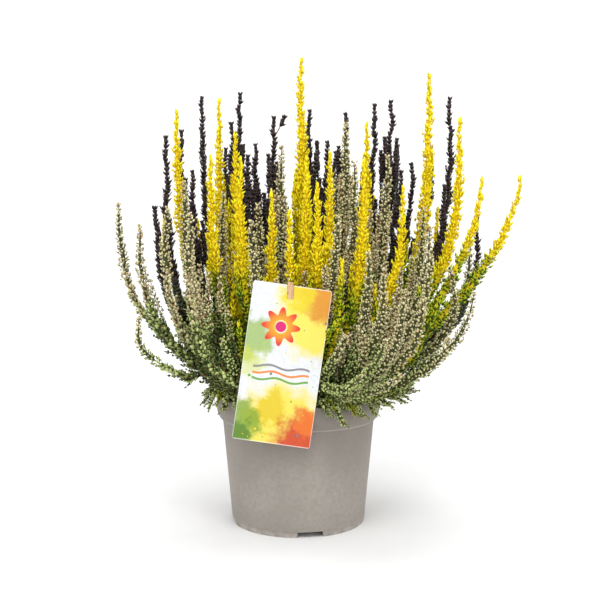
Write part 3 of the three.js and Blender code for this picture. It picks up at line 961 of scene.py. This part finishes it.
def growWhorls(grower, kind, spike, kit, green, draw):
    # whorls down the spike, each turned against the one above, and open ones low down
    size = heather[kind]
    tip = spike.at(0)
    openTop = openAt(kind, tip)
    below = 1.6
    seed = draw.uniform(0, 600)
    turn = seed
    wide = 1
    while below < spike.length - 6:
        point = spike.at(below)
        low = point.z - soilTop
        if low < 8:
            break
        radius = spikeRadius(kind, below, low) * (1 + 0.08 * wide) * draw.uniform(0.93, 1.07)
        radius *= 1 + 2 * size["swell"] * noise.noise(Vector((below / 4.5, seed, 0)))
        aside = Matrix.Translation((size["knob"] * radius * mm, 0, 0))
        place = spike.stand(below) @ turned(turn) @ aside
        isOpen = low < openTop + draw.uniform(-12, 12) and below > growth["fullTip"]
        if isOpen:
            shape, full = draw.choice(kit["twigs"]), size["twig"] * 1.1
        else:
            shape, full = pickWhorl(kit, radius, draw)
        # open whorls are greener, and low down this goes past 1, into painted shade deep in the bush
        age_and_shade = ageAt(point.z, green) + (0.3 if isOpen and tip.x > -60 else 0)
        grower.plant(shape, place @ Matrix.Scale(radius / full, 4), age_and_shade)
        turn += math.pi / 2 + draw.uniform(-0.2, 0.2)
        wide = -wide
        below += draw.uniform(0.9, 1.1) * (growth["openStep"] if isOpen else size["step"])


def growBranch(grower, kind, spike, below, turn, kit, green, draw):
    # a leafy branch that leaves the stem and then rises beside it
    size = heather[kind]
    foot = spike.at(below)
    low = 1 - min(1, (foot.z - soilTop) / 90)
    least, most = size["reach"]
    reach = (least + (most - least) * low) * draw.uniform(0.7, 1.2)
    long = min(draw.uniform(*growth["branchLength"]), below - size["bareTip"] - draw.uniform(0, 34))
    if long < 14 or foot.z < soilTop + 3 or math.hypot(foot.x, foot.y) > growth["outer"]:
        return
    aside = Vector((math.cos(turn), math.sin(turn), -0.15))
    places = np.arange(0, long, 4.0)
    track = []
    for s in places:
        upright = foot + Vector((0, 0, s))
        beside = spike.at(below - s).lerp(upright, size["rise"] * min(1, s / 30))
        track.append(beside + aside * reach * (1 - math.exp(-s / 18)))
    if any(nearCard(point, 5) for point in track):
        return
    branch = Spike(np.array([tuple(point) for point in track]))
    pale = min(1, max(0.45, 0.7 - foot.x / 80)) if kind == "silver" else 1
    s = 1.0
    while s < branch.length - 5:
        age_and_shade = ageAt(branch.at(s).z, green)
        scale = draw.uniform(0.85, 1.1) * min(1, 0.55 + s / 25)
        place = branch.stand(s) @ turned(draw.uniform(0, 6))
        if s < growth["branchTop"]:
            radius = min(spikeRadius(kind, s), 0.8 * spikeRadius(kind, 40)) * draw.uniform(0.9, 1.1)
            shape, full = pickWhorl(kit, radius, draw)
            grower.plant(shape, place @ Matrix.Scale(radius / full, 4), age_and_shade * pale)
        else:
            # twigs low on a branch: past 1 this paints them with the shade deep in the bush
            grower.plant(draw.choice(kit["twigs"]), place @ Matrix.Scale(scale, 4), 0.6 + age_and_shade)
        s += growth["twigStep"] * draw.uniform(0.85, 1.15)
    grower.plantStem(track, [0.5 - 0.3 * s / long for s in places], 1, 0.0, 0)


def nearCard(point, room):
    across, height = abs(point[0] - card["middle"][0]), abs(point[2] - card["middle"][2])
    reach = (card["wide"] / 2 + 8 + room, card["high"] / 2 + 4 + room)
    return point[1] < card["middle"][1] + room + 1 and across < reach[0] and height < reach[1]


def growShoots(grower, kind, spike, kit, green, draw):
    # short side twigs low down, longest near the peat
    turn = draw.uniform(0, 6)
    below = heather[kind]["bare"]
    while below < spike.length - 4:
        point = spike.at(below)
        low = 1 - (point.z - soilTop) / (growth["lowTop"] - soilTop)
        below += growth["shootStep"] * draw.uniform(0.8, 1.2)
        turn += growth["turn"]
        away = math.hypot(point.x, point.y)
        if away > growth["outer"]:
            low = max(0.12, low)
        if low < 0 or low > 0.95 or away < growth["inner"]:
            continue
        least, most = growth["shootLength"]
        level = int(np.abs(kit["lengths"] - least - (most - least) * low).argmin())
        shape = draw.choice(kit["shoots"][level])
        lean = math.radians(draw.uniform(30, 45) + 22 * low)
        up = spike.stand(below) @ turned(turn)
        place = up @ turned(lean, "Y") @ turned(math.pi)
        place = place @ Matrix.Scale(draw.uniform(0.85, 1.15), 4)
        end = place @ Vector((0, 0, kit["lengths"][level] * mm)) / mm
        if not nearCard(end, 3):
            # low shoots go past 1, into painted shade deep in the bush
            grower.plant(shape, place, 0.3 + 1.2 * ageAt(point.z - 8, green))


def growStem(grower, kind, spike):
    # the stem, and a leaf-coloured core round it under closed whorls, so that no light shows between leaves
    thick = heather[kind]["stem"]
    places = np.arange(0, spike.length, 4.0)[::-1]
    points = [spike.track[0]] + [spike.at(below) for below in places]
    radii = [thick * (0.45 + 0.75 * min(1, below / 160)) for below in [spike.length, *places]]
    grower.plantStem(points, radii, 1, 0.0)
    if kind == "dark":
        return
    openTop = soilTop + openAt(kind, spike.at(0))
    covered = [below for below in places if below > 2]
    covered = [below for below in covered if spike.at(below).z > openTop or below < growth["fullTip"]]
    if len(covered) > 2:
        points = [spike.at(below) for below in covered]
        radii = [coreAt(kind, spikeRadius(kind, below, point.z - soilTop))
                 for below, point in zip(covered, points)]
        radii[0] = 0.5
        grower.plantStem(points, radii, 0, 0.3)


def growSpray(node, kit, finishes):
    kind = node.split("_")[0]
    draw = random.Random(node)
    grower = Grower()
    for track in stemLines(node):
        bent = wobbled(track, heather[kind]["wobble"], draw.uniform(0, 900))
        growSpike(grower, kind, Spike(bent), kit, draw)
    return finishPlant(grower, node + "_leaves", kind, finishes, node)


def finishPlant(grower, name, kind, finishes, *replaced):
    piece = addPiece(name, grower.bm, finishes, kind + "_heather", *replaced)
    ages_and_shades = np.repeat(np.array(grower.ages_and_shades, np.float32), grower.counts)
    # the age of each shape goes on its points; above 1 it stands for painted shade deep in the bush
    piece.data.attributes.new("age_and_shade", "FLOAT", "POINT").data.foreach_set("value", ages_and_shades)
    return sum(len(face.vertices) - 2 for face in piece.data.polygons)


# Sprigs at the rim: colour, angle round the pot from +X towards +Y, how far out the tip is and its height
rimSprigs = [
    ("silver", -70, 70, 82), ("yellow", -62, 70, 88), ("silver", -78, 66, 89), ("silver", -55, 69, 86),
    ("yellow", -74, 65, 93), ("silver", -47, 72, 86), ("yellow", -40, 68, 92), ("silver", -66, 65, 92),
    ("silver", -59, 67, 91), ("silver", -51, 68, 95), ("silver", -43, 71, 93), ("silver", -36, 76, 90),
    ("silver", -30, 78, 98), ("silver", -24, 80, 91), ("silver", -18, 85, 100), ("silver", -12, 80, 92),
    ("silver", -6, 86, 103), ("silver", 0, 84, 101), ("yellow", -27, 72, 99), ("silver", -33, 72, 100),
    ("silver", -15, 78, 106), ("silver", -9, 82, 97), ("silver", -21, 74, 104),
    ("silver", 6, 88, 98), ("silver", 20, 76, 90), ("yellow", 34, 68, 92), ("silver", 48, 74, 90),
    ("silver", 64, 70, 88), ("silver", 80, 74, 92), ("yellow", 94, 68, 90), ("silver", 110, 74, 90),
    ("silver", 126, 72, 88), ("yellow", 140, 68, 92), ("silver", 154, 74, 90), ("silver", 168, 70, 91),
    ("silver", 182, 70, 88), ("silver", 193, 68, 86), ("yellow", 202, 65, 90), ("silver", 212, 66, 88),
    ("silver", 222, 64, 91),
]


def growRim(kind, kit, finishes):
    draw = random.Random(kind + " rim")
    grower = Grower()
    for colour, turn, out, height in rimSprigs:
        if colour == kind:
            growSprig(grower, kit, math.radians(turn), out, height, draw)
    return finishPlant(grower, kind + "_rim_sprigs", kind, finishes)


def growSprig(grower, kit, around, out, height, draw):
    # a twig that comes up from the peat, leans over the rim and ends a little outside it
    rim, top = rimRadius, potHeight
    course = [(rim - 13, soilTop - 3), (rim - 9, top - 1), (rim - 4, top + 4), (rim + 1, top + 4.5)]
    course += [(rim + (out - rim) * 0.6, min((top + 3 + height) / 2 + 1, top + 3)), (out, height)]
    line = []
    for i, (away, z) in enumerate(course):
        turn = around + 0.02 * i
        line.append((away * math.cos(turn), away * math.sin(turn), z))
    sprig = Spike(np.array(line))
    s = 0.6
    while s < sprig.length - 7:
        size = draw.uniform(0.9, 1.15) * min(1, 0.6 + s / 14)
        place = sprig.stand(s) @ turned(draw.uniform(0, 6)) @ Matrix.Scale(size, 4)
        grower.plant(draw.choice(kit["twigs"]), place, draw.uniform(0.7, 1.0))
        s += draw.uniform(1.8, 2.3)
    for s in (3, 6, 9, 12, 15, 18):
        place = sprig.stand(s) @ turned(draw.uniform(0, 6)) @ turned(0.7, "Y")
        place = place @ turned(math.pi) @ Matrix.Scale(0.8, 4)
        shoots = kit["shoots"][draw.choice((0, 1))]
        grower.plant(draw.choice(shoots), place, 1.0)
    places = np.linspace(0, sprig.length, 12)
    radii = [0.35 + 0.03 * i for i in range(12)]
    grower.plantStem([sprig.at(s) for s in places], radii, 1, 0.0, 0)


# Leaf colours, foot and tip of a leaf: the spike's own, then where it is green, then painted shade deep in the
# bush, and the odd tint that a few leaves have
tints = {
    "yellow": {
        "own": (paint(236, 204, 0), paint(255, 251, 12)), "green": (paint(40, 92, 8), paint(214, 226, 34)),
        "painted_inner_shade": (paint(16, 38, 6), paint(96, 146, 24)), "odd": paint(255, 212, 2),
    },
    "dark": {
        "own": (paint(15, 11, 10), paint(66, 52, 51)), "green": (paint(36, 44, 28), paint(96, 106, 76)),
        "painted_inner_shade": (paint(14, 14, 10), paint(54, 54, 40)), "odd": paint(98, 84, 92),
    },
    "silver": {
        "own": (paint(70, 72, 34), paint(232, 222, 172)), "green": (paint(16, 50, 6), paint(194, 208, 128)),
        "painted_inner_shade": (paint(10, 28, 6), paint(88, 114, 50)), "odd": paint(176, 140, 112),
    },
}
barks = {"yellow": (paint(112, 66, 34), paint(158, 104, 58)), "dark": (paint(74, 36, 28), paint(128, 66, 44)),
         "silver": (paint(120, 78, 52), paint(184, 134, 100))}


def leafFinish(kind):
    finish = Finish(kind + " leaf", {"Roughness": 0.62, "Specular IOR Level": 0.3})
    tip, tone, age_and_shade = finish.mark("tip"), finish.mark("tone"), finish.mark("age_and_shade")
    tint = tints[kind]
    # painted shade and highlight, partly the leaf's own colour: darker at a leaf's foot, lighter at its tip
    lit = (tip * 0.85 + tone * 0.3 - 0.05).rise(0.1, 0.95)
    own = finish.mix(lit, *tint["own"])
    own = finish.mix((tone > 0.86) * 0.6, own, tint["odd"])
    green = finish.mix(lit, *tint["green"])
    share = (age_and_shade + (tone - 0.5) * 0.35).rise(0.2, 0.8)
    painted_inner_shade = finish.mix(lit, *tint["painted_inner_shade"])
    # age above 1 mixes in painted shade for twigs and shoots deep in the bush
    shade = finish.mix((age_and_shade - 1).rise(0.0, 0.5), finish.mix(share, own, green), painted_inner_shade)
    finish.feed(finish.shader, {"Base Color": shade})
    return finish


def barkFinish(kind):
    finish = Finish(kind + " bark", {"Roughness": 0.75, "Specular IOR Level": 0.25})
    rough = finish.noise(700, 3, finish.stretched((1, 1, 0.3)))
    finish.feed(finish.shader, {"Base Color": finish.mix(rough.rise(0.35, 0.65), *barks[kind])})
    return finish


makeStudio()
print("studio made")
makePot()
makePeat()
makeCard()
makeStake()
print("pot, peat, card and stake made")
total = 0
for kind in heather:
    kit = makeKit(kind)
    finishes = [leafFinish(kind), barkFinish(kind)]
    nodes = sorted(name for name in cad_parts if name.startswith(kind))
    faces = [growSpray(node, kit, finishes) for node in nodes]
    if kind != "dark":
        faces.append(growRim(kind, kit, finishes))
    total += sum(faces)
    print(kind, "heather:", len(nodes), "sprays,", sum(faces), "triangles, most in one", max(faces))
print("heather in all:", total, "triangles")
